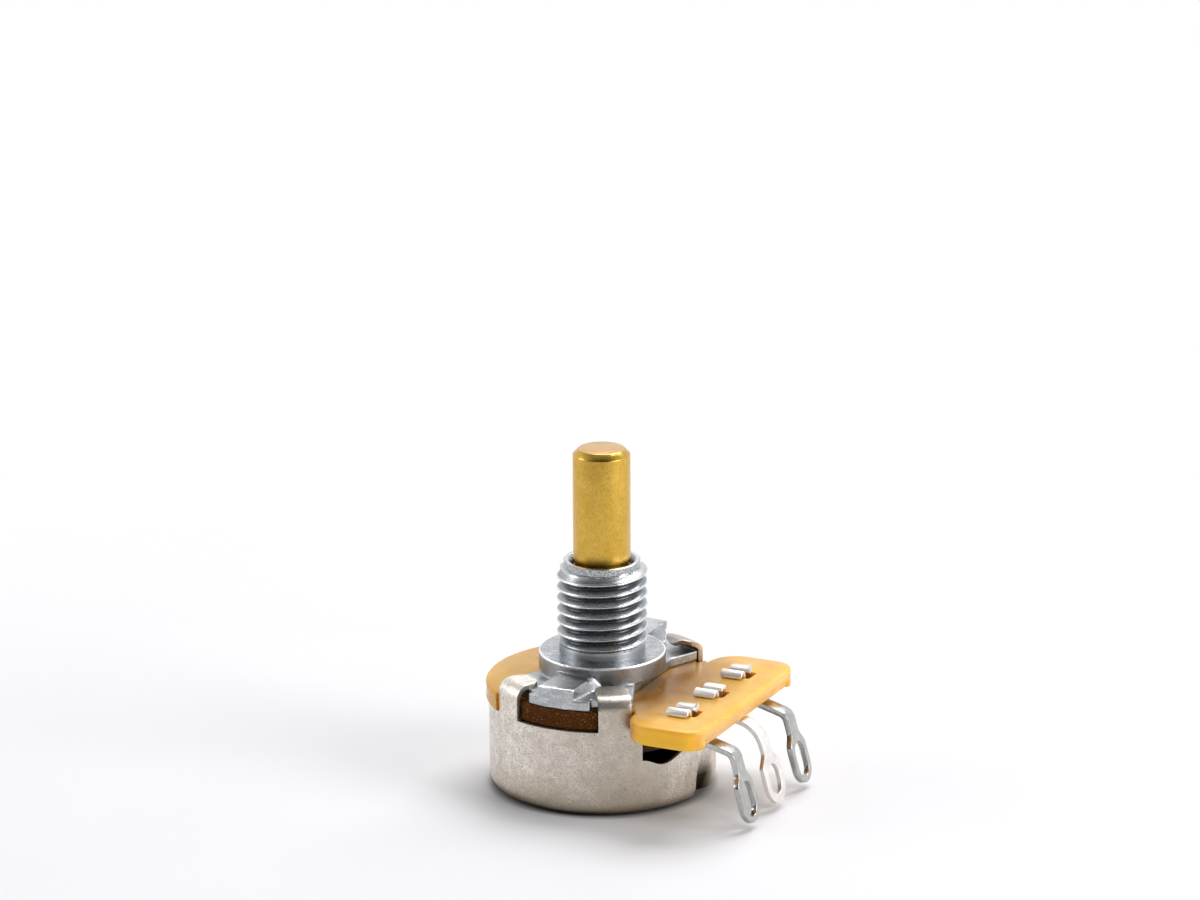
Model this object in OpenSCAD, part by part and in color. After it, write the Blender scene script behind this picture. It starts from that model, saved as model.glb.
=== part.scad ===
// Panel potentiometer with a solid round shaft, in millimetres, +Z up the shaft.
// The origin is on the shaft's axis, in the plane of the boss face that seats on the panel.
// The solder lugs point along +X.

/* [Shaft] */
// Diameter of the shaft
shaft_d = 6; // [4.8:0.1:6.6]
// Length of the shaft above the panel seat
shaft_len = 21.9; // [14:0.1:40]
// Chamfer on the shaft's end, along the axis
shaft_chamfer = 0.6; // [0.2:0.05:1]
// Radial clearance of the shaft in its bore
shaft_clearance = 0.05; // [0.02:0.01:0.1]
// Depth of the retaining groove in the shaft
groove_depth = 0.5; // [0.3:0.05:0.8]
// Depth of each flat on the shaft's inner end
flat_depth = 1; // [0.6:0.05:1.4]

/* [Bushing] */
// Diameter over the thread's crests
barrel_d = 9.5; // [9:0.1:10.5]
// Length of the barrel above the panel seat
barrel_len = 9.9; // [6:0.1:16]
// Diameter of the flat ring at the barrel's end
nose_d = 8; // [7.6:0.1:9]
// Length of that ring
nose_ring = 0.55; // [0.2:0.05:1]
// Length of the taper behind it
nose_taper = 0.35; // [0.2:0.05:1]
// Depth of the countersink at the bore's mouth
mouth_depth = 0.5; // [0.2:0.05:0.7]
// Diameter of the round boss
boss_d = 13.3; // [12:0.1:15]
// Height of the boss above the plate
boss_h = 2.05; // [1.2:0.05:3]
// Thickness of the plate
plate_t = 1.05; // [0.8:0.05:2]
// Gap between the plate's edge and the inside of the can's tabs
plate_edge_gap = 0.1; // [0.05:0.05:0.5]
// Half width of the plate's waist
waist_half = 5.35; // [4.6:0.05:6.4]
// Width of the front rib at its top
rib_w = 3.85; // [2:0.05:5]
// Height of the front rib above the plate
rib_h = 1.15; // [0.5:0.05:2]
// Width of the back lug
lug_w = 4.3; // [3:0.1:6]

/* [Can] */
// Outer diameter of the can
can_d = 23.8; // [22:0.1:27]
// Depth of the can from its rim to its bottom
can_depth = 9.35; // [8.5:0.05:14]
// Thickness of the can's sheet
sheet_t = 0.5; // [0.4:0.05:0.7]
// Outer radius of the can's bottom corner
can_corner_r = 1.5; // [1:0.1:2.5]
// Width of a crimp tab
tab_w = 3.4; // [2.6:0.1:4]
// Length of a tab's fold over the plate
tab_fold = 4.2; // [3:0.1:4.8]
// Outer radius of a tab's bend
tab_bend_r = 1.5; // [1:0.1:1.8]
// Angle by which the third tab has sprung up
tab_spring = 25; // [0:1:30]
// Outer radius of that tab's bend
sprung_bend_r = 0.8; // [0.7:0.05:1.2]
// Room beside the outer terminals in the cut-out below them
cutout_room = 0.5; // [0.3:0.05:1]
// Depth of the cut-out below the rim at its corners
cutout_depth = 3.9; // [3:0.1:5]
// Depth of the cut-out below the rim at its middle
cutout_mid = 2.5; // [1.5:0.1:3]
// Radius of the stop dent in the can's wall
dent_r = 1.8; // [1.4:0.1:2.2]
// Depth of the stop dent at the can's bottom
dent_depth = 1.9; // [1.5:0.1:2.2]
// Height of the stop dent above the can's bottom
dent_h = 5.5; // [5:0.1:6.5]

/* [Board] */
// Thickness of the terminal board
board_t = 2.1; // [1.5:0.05:2.5]
// Distance from the axis to the board's straight end
board_reach = 16.8; // [16:0.1:20]
// Width of the board's extension
board_w = 25; // [24:0.1:28]
// Radius of the extension's outer corners
board_corner_r = 1.6; // [0.8:0.1:2.5]
// Radius of the extension's inner corners
board_flare_r = 3.3; // [2:0.1:4]
// Diameter of the hole in the board
board_hole_d = 9.6; // [9.4:0.1:10]
// Thickness of the printed track and its end pads
track_t = 0.1; // [0.05:0.01:0.2]
// Width of the printed track
track_w = 2.7; // [2:0.1:3]

/* [Terminals] */
// Distance between neighbouring terminals
term_pitch = 6.7; // [5:0.1:6.9]
// Thickness of the terminal sheet
term_t = 0.4; // [0.3:0.05:0.5]
// Width of a terminal's strap
strap_w = 1.8; // [1.4:0.1:2]
// Length of a prong along the strap
prong_len = 2.4; // [1.6:0.1:2.8]
// Radius to which the near prongs are curled
prong_curl = 0.45; // [0.35:0.05:0.6]
// Length of the far prongs' fold over the board
prong_fold = 0.75; // [0.4:0.05:1.2]
// Lean of the solder lugs from the vertical
lug_lean = 16; // [5:1:30]
// Slope of the outer straps where they leave the board
strap_slope = 15; // [5:1:25]
// Height of the lugs' tips above the can's bottom
tip_height = 0.55; // [0.3:0.05:3]
// Width of a lug's eye
eye_w = 3.5; // [3:0.1:4.2]
// Length of a lug's eye
eye_len = 5.2; // [4.2:0.1:6]
// Width of the ring round the eye's hole
eye_ring = 0.65; // [0.5:0.05:0.9]

/* [Rotor] */
// Half of the shaft's travel
travel_half = 150; // [120:1:150]
// Diameter of the moulded rotor
rotor_d = 20.6; // [16:0.1:21]
// Thickness of the rotor's disc
rotor_t = 1.3; // [1:0.1:2]
// Diameter of the rotor's hub
hub_d = 8.4; // [7:0.1:10]
// Distance from the board to the rotor's face
contact_room = 1.7; // [1.4:0.1:2]
// Thickness of the stop plate
stop_t = 0.8; // [0.5:0.1:1.2]
// Thickness of the retaining ring
ring_t = 0.6; // [0.4:0.05:0.8]
// Diameter of the retaining ring
ring_d = 8.6; // [8:0.1:9]
// Thickness of the wiper's sheet
wiper_t = 0.25; // [0.15:0.05:0.3]

/* [Hidden] */
$fn = 96;
// Cutting tools reach this far past the faces that they cut
past = 0.5;
// Shapes that join within one piece run into each other by this much
overlap = 0.05;
// Clearance between pieces that move past each other, and between seated flats
run_gap = 0.15;
seat_gap = 0.03;

shaft_r = shaft_d / 2;
barrel_r = barrel_d / 2;
boss_r = boss_d / 2;
can_r = can_d / 2;
can_in = can_r - sheet_t;

// Levels, down from the panel seat
plate_top = -boss_h;
board_top = plate_top - plate_t;
rim = board_top - board_t;
can_bottom = rim - can_depth;
can_floor = can_bottom + sheet_t;
track_face = rim - track_t;
collector_face = rim - term_t;
rotor_top = rim - contact_room;
shaft_end = can_floor + 3 * run_gap;
stake_h = 0.8;
stop_bottom = shaft_end + stake_h;
stop_top = stop_bottom + stop_t;

// Crimp tabs: the direction of each, and whether it has sprung up
TABS = [[-121, false], [-58, false], [61, true], [122, false]];
tab_centre_r = can_r - tab_bend_r;
tab_bend_z = plate_top + sheet_t - tab_bend_r;
sprung_bend_z = plate_top - 0.05;
tab_tip_corner = tab_w / 3;
tab_skin = 0.02;
// Length of sheet in every tab, from the rim along its middle to the tip
tab_len = tab_bend_z - rim + arc_len(tab_bend_r - sheet_t / 2, 90) + tab_fold - tab_bend_r;

// Plate outline: each flank leans out from the waist
flank_lean = 23;
front_waist = 3.3;
back_waist = 5.5;
front_arc = [-107, -71];
plate_r = can_in - plate_edge_gap;
rib_spread = 0.75;

// Board
board_r = can_r + 0.05;
board_inner_x = can_r * cos(47.5) - 0.15;
tab_notch_gap = 0.15;
window_r = can_in + 0.05;
track_out = can_in - 1.2;
track_in = track_out - track_w;
pad_angle = 20;
pad_side = 0.4;
track_start = asin((term_pitch + pad_side) / track_out);

// Terminals
foot_lap = 0.2;
foot_x = sqrt(pow(track_out, 2) - pow(term_pitch - strap_w / 2, 2)) - foot_lap;
pad_lap = 0.3;
cutout_half = term_pitch + strap_w / 2 + cutout_room;
slot_play = 0.4;
slot_inset = 5.6;
slot_x = board_reach - slot_inset;
slot_len = prong_len + 2 * slot_play;
prong_root = (strap_w - term_t) / 2;
prong_rise = 0.15;
far_bend_r = 0.28;
far_turn = 95;
outer_bend_r = 1.2;
centre_bend_r = 3.4;
outer_knee = slot_x + slot_len;
outer_slope_len = 3.4;
centre_knee_inset = 1.4;
centre_knee = board_reach - centre_knee_inset;
collector_in = board_hole_d / 2 + 0.1;
collector_w = 1.6;
collector_out = collector_in + collector_w;

// Rotor
groove_r = shaft_r - groove_depth;
tail_r = shaft_r - 0.4;
flat_half = shaft_r - flat_depth;
relief_depth = 0.2;
relief_len = 0.8;
relief_top = barrel_len + 0.1;
stake_grip = 0.3;
peg_r = 0.7;
peg_inset = 0.2;
peg_place = hub_d / 2 + peg_r - peg_inset;
peg_head = 0.35;
wing_angle = [142, 165];
finger_run = 4.2;
finger_w = 0.8;
touch = 0.08;
tang_reach = can_in - 2 * run_gap;
dent_lean = atan(dent_depth / dent_h);
dent_axis = can_r + dent_r - dent_depth;
dent_axis_at_stop = dent_axis + (stop_top - can_bottom) * tan(dent_lean);
dent_out = dent_r + sheet_t;
dent_half = acos((pow(tang_reach, 2) + pow(dent_axis_at_stop, 2) - pow(dent_out, 2))
    / (2 * tang_reach * dent_axis_at_stop));
tang_half = 180 - travel_half - dent_half - 1.5;

function arc_len(r, angle) = r * angle * PI / 180;

// A solid of revolution's sector between two angles, as a wedge to intersect with
module wedge(from, to, r) {
    steps = 8;
    reach = r / cos((to - from) / steps / 2);
    polygon(concat([[0, 0]], [for (i = [0:steps])
        reach * [cos(from + (to - from) * i / steps), sin(from + (to - from) * i / steps)]]));
}

module ring_sector(r_in, r_out, from, to) {
    intersection() {
        difference() {
            circle(r_out);
            circle(r_in);
        }
        wedge(from, to, r_out + past);
    }
}

function line_end(line) = line[len(line) - 1];

// Unit normal at a point of a line, from its neighbours
function line_normal(line, i) =
    let (d = line[min(i + 1, len(line) - 1)] - line[max(i - 1, 0)])
    [-d[1], d[0]] / norm(d);

// Outline of bent sheet of thickness t whose middle follows a line
function sheet_outline(line, t) = concat(
    [for (i = [0:len(line) - 1]) line[i] + line_normal(line, i) * t / 2],
    [for (i = [len(line) - 1:-1:0]) line[i] - line_normal(line, i) * t / 2]);

// Can

module can_profile(r, corner, base, top) {
    translate([0, base + corner]) square([r, top - base - corner]);
    translate([0, base]) square([r - corner, corner]);
    translate([r - corner, base + corner]) circle(corner);
}

module can_shell() {
    rotate_extrude() difference() {
        intersection() {
            can_profile(can_r, can_corner_r, can_bottom, rim);
            translate([0, can_bottom]) square([can_r, can_depth]);
        }
        intersection() {
            can_profile(can_in, can_corner_r - sheet_t, can_floor, rim + past);
            translate([0, can_floor]) square([can_r, can_depth]);
        }
    }
}

// Outline of a tab in plan, with its rounded tip
module tab_plan(tip) {
    steps = 6;
    side = tab_w / 2 - tab_tip_corner;
    polygon(concat([[can_r + past, -tab_w / 2]],
        [for (i = [0:steps]) [tip + tab_tip_corner, -side]
            + tab_tip_corner * [-sin(90 * i / steps), -cos(90 * i / steps)]],
        [for (i = [0:steps]) [tip + tab_tip_corner, side]
            + tab_tip_corner * [-cos(90 * i / steps), sin(90 * i / steps)]],
        [[can_r + past, tab_w / 2]]));
}

// Middle line of a tab in section: up the wall, round the bend and in along the fold
function tab_line(bend_r, bend_z, rise, fold_len) =
    let (steps = 10, turn = 90 - rise, bend = [for (i = [0:steps]) [can_r - bend_r, bend_z]
        + (bend_r - sheet_t / 2) * [cos(turn * i / steps), sin(turn * i / steps)]])
    concat([[can_r - sheet_t / 2, rim - past]], bend,
        [line_end(bend) + fold_len * [-cos(rise), sin(rise)]]);

// Crimped flat over the plate, or sprung up again, which leaves a tight bend and a rising fold.
// Its sheet is a little thinner than the can's, so its root ends inside the wall.
module tab(angle, sprung) {
    rise = sprung ? tab_spring : 0;
    bend_r = sprung ? sprung_bend_r : tab_bend_r;
    bend_z = sprung ? sprung_bend_z : tab_bend_z;
    fold_len = tab_len - (bend_z - rim) - arc_len(bend_r - sheet_t / 2, 90 - rise);
    line = tab_line(bend_r, bend_z, rise, fold_len);
    rotate(angle) intersection() {
        rotate_extrude() polygon(sheet_outline(
            tab_line(bend_r, bend_z, rise, fold_len + past), sheet_t - 2 * tab_skin));
        translate([0, 0, rim - can_depth])
            linear_extrude(2 * can_depth) tab_plan(line_end(line)[0]);
    }
}

// The leaning pin that presses the dent, long enough to clear the wall at both ends
module dent_pin(r) {
    translate([dent_axis, 0, can_bottom]) rotate([0, dent_lean, 0])
        translate([0, 0, -dent_out]) cylinder(r = r, h = dent_h + 3 * dent_out);
}

module dent_wall() {
    intersection() {
        rotate_extrude() intersection() {
            can_profile(can_r, can_corner_r, can_bottom, rim - cutout_mid);
            translate([0, can_bottom]) square([can_r, can_depth]);
        }
        dent_pin(dent_out);
    }
}

// Opening in the wall below the terminals, higher in the middle where the dent is pressed
module cutout() {
    corner_w = cutout_half * 0.31;
    middle = cutout_half * 0.19;
    translate([can_r / 2, 0, 0]) rotate([90, 0, 90]) linear_extrude(can_r) polygon([
        [-cutout_half, rim + past], [-cutout_half, rim - cutout_depth],
        [-cutout_half + corner_w, rim - cutout_depth], [-middle, rim - cutout_mid],
        [middle, rim - cutout_mid], [cutout_half - corner_w, rim - cutout_depth],
        [cutout_half, rim - cutout_depth], [cutout_half, rim + past]]);
}

module can() {
    color("#c4beb4") {
        difference() {
            union() {
                can_shell();
                dent_wall();
            }
            cutout();
            dent_pin(dent_r);
        }
        for (t = TABS) tab(t[0], t[1]);
    }
}

// Bushing

module barrel() {
    bore_r = shaft_r + shaft_clearance;
    nose_r = nose_d / 2;
    nose_base = barrel_len - nose_ring;
    rotate_extrude() polygon([
        [0, 0], [barrel_r, 0], [barrel_r, nose_base - nose_taper], [nose_r, nose_base],
        [nose_r, barrel_len], [bore_r + mouth_depth, barrel_len],
        [bore_r, barrel_len - mouth_depth], [0, barrel_len - mouth_depth]]);
}

// The X-shaped plate: a waisted web with four ears, cut back behind the crimped tabs
module plate_outline() {
    front = waist_half + (can_r - front_waist) * tan(flank_lean);
    back = waist_half + (can_r - back_waist) * tan(flank_lean);
    difference() {
        intersection() {
            circle(plate_r);
            polygon([[waist_half, -front_waist], [front, -can_r], [-front, -can_r],
                [-waist_half, -front_waist], [-waist_half, back_waist], [-back, can_r],
                [back, can_r], [waist_half, back_waist]]);
        }
        ring_sector(tab_centre_r, can_r, front_arc[1], -20);
        ring_sector(tab_centre_r, can_r, -160, front_arc[0]);
        ring_sector(tab_centre_r, can_r, TABS[3][0] - 10, 160);
    }
}

// Front rib: its flanks stand upright at the plate's edge and spread at the boss
module rib() {
    half = rib_w / 2;
    foot = half + rib_spread;
    intersection() {
        hull() {
            translate([-half, -plate_r, plate_top]) cube([rib_w, plate_r, rib_h]);
            translate([0, 0, plate_top]) linear_extrude(overlap) polygon([[-half, -plate_r],
                [half, -plate_r], [foot, -boss_r], [foot, 0], [-foot, 0], [-foot, -boss_r]]);
        }
        translate([0, 0, plate_top]) cylinder(r = plate_r - 0.15, h = boss_h);
    }
}

module back_lug() {
    intersection() {
        translate([-lug_w / 2, 0, plate_top]) cube([lug_w, can_r, boss_h]);
        translate([0, 0, plate_top]) cylinder(r = plate_r, h = boss_h);
    }
}

module bushing() {
    color("#a3adb3") difference() {
        union() {
            barrel();
            translate([0, 0, plate_top]) cylinder(r = boss_r, h = boss_h);
            translate([0, 0, board_top]) linear_extrude(plate_t) plate_outline();
            rib();
            back_lug();
        }
        translate([0, 0, board_top - past])
            cylinder(r = shaft_r + shaft_clearance, h = barrel_len - board_top + 2 * past);
    }
}

// Board

module extension() {
    half = board_w / 2;
    translate([board_inner_x + board_flare_r, -half])
        square([board_reach - board_corner_r - board_inner_x - board_flare_r, board_w]);
    translate([board_inner_x, board_flare_r - half])
        square([board_reach / 3, board_w - 2 * board_flare_r]);
    translate([board_inner_x + board_flare_r, board_corner_r - half])
        square([board_reach - board_inner_x - board_flare_r, board_w - 2 * board_corner_r]);
    for (side = [-1, 1]) {
        translate([board_inner_x + board_flare_r, side * (half - board_flare_r)])
            circle(board_flare_r);
        translate([board_reach - board_corner_r, side * (half - board_corner_r)])
            circle(board_corner_r);
    }
}

// The disc and the extension; between the front tabs the board shows behind the can's rim
module board_outline() {
    difference() {
        union() {
            circle(board_r);
            extension();
        }
        circle(board_hole_d / 2);
        for (t = TABS) rotate(t[0])
            translate([can_in - tab_notch_gap, -tab_w / 2 - tab_notch_gap])
                square([sheet_t + 2 * tab_notch_gap, tab_w + 2 * tab_notch_gap]);
        ring_sector(window_r, board_r + past, TABS[0][0], TABS[1][0]);
        for (place = [-1, 0, 1])
            translate([slot_x, place * term_pitch - strap_w / 2]) square([slot_len, strap_w]);
    }
}

module wafer() {
    color("#e6bd78") translate([0, 0, rim]) linear_extrude(board_t) board_outline();
}

module track_layer() {
    translate([0, 0, track_face]) linear_extrude(track_t) children();
}

module resistive_track() {
    color("#2b2724") track_layer() difference() {
        circle(track_out);
        circle(track_in);
        wedge(-track_start, track_start, can_r);
    }
}

// Printed pad from the track's end out to the foot of its terminal
module end_pad(side) {
    color("#c9c9c4") track_layer() mirror([0, side < 0 ? 1 : 0]) {
        ring_sector(track_in, track_out, pad_angle, track_start);
        translate([foot_x - pad_lap, term_pitch - strap_w / 2])
            square([slot_x - foot_x, strap_w]);
    }
}

module end_pad_left() { end_pad(-1); }

module end_pad_right() { end_pad(1); }

// Terminals

// Points of a line that runs straight, turns down by an angle on an arc, and runs straight on
function bend_line(start, heading, turn, r, steps = 8) = [for (i = [0:steps])
    let (a = heading + turn * i / steps)
    start + r * [sin(a) - sin(heading), cos(a) - cos(heading)]];

// Sheet metal strip of the terminals' thickness along a line in the X-Z plane
module strip(line, w) {
    translate([0, w / 2, 0]) rotate([90, 0, 0]) linear_extrude(w)
        polygon(sheet_outline(line, term_t));
}

// Solder lug in its own plane: the neck comes in along +X and the eye ends at the origin
module eye_outline() {
    hole_w = eye_w - 2 * eye_ring;
    hole_len = eye_len - 2 * eye_ring;
    difference() {
        union() {
            translate([-eye_w / 2, 0]) circle(eye_w / 2);
            translate([eye_w / 2 - eye_len, 0]) circle(eye_w / 2);
            translate([eye_w / 2 - eye_len, -eye_w / 2]) square([eye_len - eye_w, eye_w]);
        }
        translate([-eye_ring - hole_w / 2, 0]) circle(hole_w / 2);
        translate([-eye_ring - hole_len + hole_w / 2, 0]) circle(hole_w / 2);
        translate([-eye_ring - hole_len + hole_w / 2, -hole_w / 2])
            square([hole_len - hole_w, hole_w]);
    }
}

// The strap from the end of its bend down to the eye
module lug(start) {
    drop = 90 - lug_lean;
    tip_z = can_bottom + tip_height + term_t / 2 * sin(lug_lean);
    reach = (start[1] - tip_z) / sin(drop);
    translate([start[0], 0, start[1]]) rotate([0, drop, 0])
        translate([0, 0, -term_t / 2]) linear_extrude(term_t) {
            translate([reach, 0]) eye_outline();
            translate([-0.1, -strap_w / 2]) square([reach - eye_len + eye_ring + 0.1, strap_w]);
        }
}

// Middle line of a prong, across the board: up its slot, round a bend and on along its tail
function prong_line(base, bend_z, r, turn, tail) =
    let (steps = 10, bend = [for (i = [0:steps]) let (a = 180 - turn * i / steps)
        [prong_root + r + r * cos(a), bend_z + r * sin(a)]])
    concat([[prong_root, base]], bend, [line_end(bend) + tail * [sin(turn), cos(turn)]]);

module prong(base, bend_z, r, turn, tail) {
    translate([slot_x + slot_play / 4, 0, 0]) rotate([90, 0, 90]) linear_extrude(prong_len)
        polygon(sheet_outline(prong_line(base, bend_z, r, turn, tail), term_t));
}

// Two prongs come up through the board's slot: the near one is curled right over onto the board,
// the far one is folded nearly flat
module prongs(base) {
    mirror([0, 1]) prong(base, board_top + prong_rise, prong_curl, 180, prong_rise - seat_gap);
    prong(base, board_top, far_bend_r, far_turn, prong_fold);
}

module outer_terminal(place) {
    level = track_face - term_t / 2;
    knee = [outer_knee, level];
    slope_end = knee + outer_slope_len * [cos(strap_slope), -sin(strap_slope)];
    bend = bend_line(slope_end, strap_slope, 90 - lug_lean - strap_slope, outer_bend_r);
    color("#b9b6ae") translate([0, place * term_pitch, 0]) {
        strip(concat([[foot_x, level], knee], bend), strap_w);
        prongs(track_face - term_t);
        lug(line_end(bend));
    }
}

module terminal_left() { outer_terminal(-1); }

module terminal_right() { outer_terminal(1); }

// Middle terminal, one stamping with the ring that the wiper's inner fingers run on
module terminal_centre() {
    level = rim - term_t / 2;
    bend = bend_line([centre_knee, level], 0, 90 - lug_lean, centre_bend_r);
    color("#d9d8d4") {
        strip(concat([[collector_out - 0.4, level]], bend), strap_w);
        translate([0, 0, rim - term_t]) linear_extrude(term_t) difference() {
            circle(collector_out);
            circle(collector_in);
        }
        prongs(rim - term_t);
        lug(line_end(bend));
    }
}

// Rotor

module double_d(r, half) {
    intersection() {
        circle(r);
        square([2 * r, 2 * half], center = true);
    }
}

module groove(bottom, width, r) {
    translate([0, 0, bottom]) difference() {
        cylinder(r = shaft_r + past, h = width);
        cylinder(r = r, h = width);
    }
}

// Turned rod: the knob's stretch ends in a relief at the bushing's mouth, then come the journal,
// the retaining ring's groove, the flatted tail and its staked end
module shaft() {
    ring_top = board_top - run_gap;
    color("#c8a24a") difference() {
        union() {
            translate([0, 0, rotor_top])
                cylinder(r = shaft_r, h = shaft_len - shaft_chamfer - rotor_top);
            translate([0, 0, shaft_len - shaft_chamfer])
                cylinder(r1 = shaft_r, r2 = shaft_r - shaft_chamfer, h = shaft_chamfer);
            translate([0, 0, stop_bottom - past])
                linear_extrude(rotor_top - stop_bottom + 2 * past) double_d(tail_r, flat_half);
            translate([0, 0, shaft_end])
                cylinder(r1 = tail_r - stake_grip, r2 = tail_r + stake_grip, h = stake_h);
        }
        groove(ring_top - ring_t - seat_gap, ring_t + 2 * seat_gap, groove_r);
        groove(relief_top - relief_len, relief_len, shaft_r - relief_depth);
    }
}

module retaining_ring() {
    mouth = groove_r * 1.5;
    color("#6f7072") translate([0, 0, board_top - run_gap - ring_t]) linear_extrude(ring_t)
        difference() {
            circle(ring_d / 2);
            circle(groove_r + seat_gap);
            translate([0, -mouth / 2]) square([ring_d, mouth]);
        }
}

// Moulded carrier, with two pegs that hold the wiper
module rotor() {
    color("#5a3a22") difference() {
        union() {
            translate([0, 0, rotor_top - rotor_t]) cylinder(r = rotor_d / 2, h = rotor_t);
            translate([0, 0, stop_top]) cylinder(r = hub_d / 2, h = rotor_top - stop_top);
            for (side = [-1, 1]) translate([0, side * peg_place, rotor_top]) {
                cylinder(r = peg_r, h = wiper_t);
                translate([0, 0, wiper_t])
                    cylinder(r1 = peg_r + peg_head, r2 = peg_r, h = peg_head);
            }
        }
        translate([0, 0, stop_top - past]) linear_extrude(rotor_top - stop_top + 2 * past)
            double_d(tail_r + seat_gap, flat_half + seat_gap);
    }
}

module stop_plate() {
    color("#9a9c9e") translate([0, 0, stop_bottom]) linear_extrude(stop_t) difference() {
        union() {
            circle(hub_d / 2 + 0.4);
            intersection() {
                circle(tang_reach);
                wedge(180 - tang_half, 180 + tang_half, can_r);
            }
        }
        double_d(tail_r + seat_gap, flat_half + seat_gap);
    }
}

// One sprung finger: it rises from the wiper's plate, touches at its crest and turns down
module finger(r, w, crest) {
    rise = crest - rotor_top - wiper_t;
    flat = 0.4;
    end = 1.2;
    drop = 0.6;
    translate([-r + w / 2, 0, rotor_top]) rotate([90, 0, -90]) linear_extrude(w) polygon([
        [-finger_run, 0], [0, rise], [flat, rise], [end, rise - drop],
        [end, rise - drop + wiper_t], [flat + 0.1, rise + wiper_t], [-0.1, rise + wiper_t],
        [-finger_run, wiper_t]]);
}

module wiper() {
    inner_r = (collector_in + collector_out) / 2;
    track_r = (track_in + track_out) / 2;
    color("#c98f5a") {
        translate([0, 0, rotor_top]) linear_extrude(wiper_t) difference() {
            union() {
                circle(peg_place + peg_r + 0.7);
                intersection() {
                    circle(track_out - finger_w / 2);
                    wedge(wing_angle[0], wing_angle[1], can_r);
                }
            }
            circle(shaft_r + run_gap);
            for (side = [-1, 1]) translate([0, side * peg_place]) circle(peg_r + seat_gap);
        }
        for (side = [-1, 1]) {
            finger(track_r + side * 0.6, finger_w, track_face - touch);
            finger(inner_r + side * 0.45, finger_w * 0.7, collector_face - touch);
        }
    }
}

can();
bushing();
wafer();
terminal_left();
terminal_centre();
terminal_right();
resistive_track();
end_pad_left();
end_pad_right();
shaft();
retaining_ring();
rotor();
stop_plate();
wiper();
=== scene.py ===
"""Looks of a panel potentiometer with a solid round shaft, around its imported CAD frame.

Sizes in the builders are millimetres in the CAD's own frame: the origin is on the shaft's axis in
the panel seat, +Z is up the shaft and the solder lugs point along +X.
"""

import math
from math import asin, cos, degrees, radians, sin, sqrt

import bmesh
import bpy
from mathutils import Matrix, Vector, noise


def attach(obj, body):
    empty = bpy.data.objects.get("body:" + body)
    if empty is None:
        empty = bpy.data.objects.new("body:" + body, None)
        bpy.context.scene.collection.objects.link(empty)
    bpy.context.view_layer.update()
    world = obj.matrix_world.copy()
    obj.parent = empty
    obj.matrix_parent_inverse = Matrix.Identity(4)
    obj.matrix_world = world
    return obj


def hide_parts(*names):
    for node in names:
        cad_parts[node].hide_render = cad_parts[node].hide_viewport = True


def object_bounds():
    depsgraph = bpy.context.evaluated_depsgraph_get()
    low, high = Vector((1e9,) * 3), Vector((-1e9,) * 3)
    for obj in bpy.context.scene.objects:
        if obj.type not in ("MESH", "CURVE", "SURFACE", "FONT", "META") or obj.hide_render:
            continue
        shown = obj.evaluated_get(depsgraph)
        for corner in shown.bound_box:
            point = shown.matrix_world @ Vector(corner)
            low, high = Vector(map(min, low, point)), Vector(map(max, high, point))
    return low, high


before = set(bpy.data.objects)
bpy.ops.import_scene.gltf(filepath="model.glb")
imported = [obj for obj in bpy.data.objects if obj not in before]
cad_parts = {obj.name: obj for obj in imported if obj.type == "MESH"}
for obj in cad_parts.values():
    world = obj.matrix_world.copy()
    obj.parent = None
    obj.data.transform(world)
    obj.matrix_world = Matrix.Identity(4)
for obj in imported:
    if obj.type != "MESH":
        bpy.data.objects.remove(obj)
CAD_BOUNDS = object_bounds()

MM = 0.001
WELD = 1e-4
ARC_STEP = 2.5

# Heights from the panel seat
SHAFT_TOP = 21.9
BARREL_TOP = 9.9
PLATE_TOP = -2.05
BOARD_TOP = -3.1
RIM = -5.2
CAN_BOTTOM = -14.55

# Can
CAN_R = 11.9
SHEET = 0.5
MID_R = CAN_R - SHEET / 2
CAN_CORNER = 1.5
BASE_RADII = (0.0, 2.0, 4.0, 6.0, 7.4, 8.4, 9.0, 9.4, 9.7, 9.95, 10.2, CAN_R - CAN_CORNER)
CORNER_STEPS = 7
WALL_STEPS = 12
UPPER_STEPS = 6
WOBBLE = 0.05
WOBBLE_FROM = 9
WOBBLE_GRAIN = 0.22
CUTOUT = ((-8.1, -3.3), (-6.3, -4.05), (-2.2, -2.5), (2.2, -2.5), (6.3, -4.05), (8.1, -3.3))
DENT_R = 1.8
DENT_DEPTH = 1.9
DENT_H = 5.0
DENT_SOFT = 0.3
DENT_REACH = 1.2
DENT_COLUMNS = [-2.4 + 0.2 * i for i in range(25)]

# Tabs, by their angles; the sprung one has come loose
FLAT_TABS = (-121, -58, 122)
SPRUNG_TAB = 61
TABS = (*FLAT_TABS, SPRUNG_TAB)
TAB_W = 3.4
TAB_COLUMNS = 10
TAB_FOLD = 4.2
LEFT_TAB_FOLD = 3.2
TAB_TIP = 1.15
TAB_BEND = 1.5
SPRUNG_BEND = 1.0
SPRUNG_LEVEL = -2.1
SPRUNG_RISE = 22
SPRUNG_TIP = 8.9
SPRUNG_CURL = 3.75
CURL_FROM = 0.55
SPRUNG_ROUND = 1.5
SPRUNG_TWIST = 0.05
STAND_STEPS = 4
BEND_STEPS = 8
FOLD_STEPS = 12

# Casting
PLATE_R = 11.3
BOSS_R = 6.65
RIB_R = 11.15
RIB_HALF = 1.925
RIB_TOP = -0.9
RIB_SPREAD = 0.75
RIB_REACH = 1.12
FLANK_NEAR = (-0.3, 0.2)
FILLET_FROM = 0.78
FILLET_SIDE = (1.3, 3.9)
FILLET_PASSES = 50
LUG_WIDEN = 1.1
VOXEL = 0.11

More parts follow.
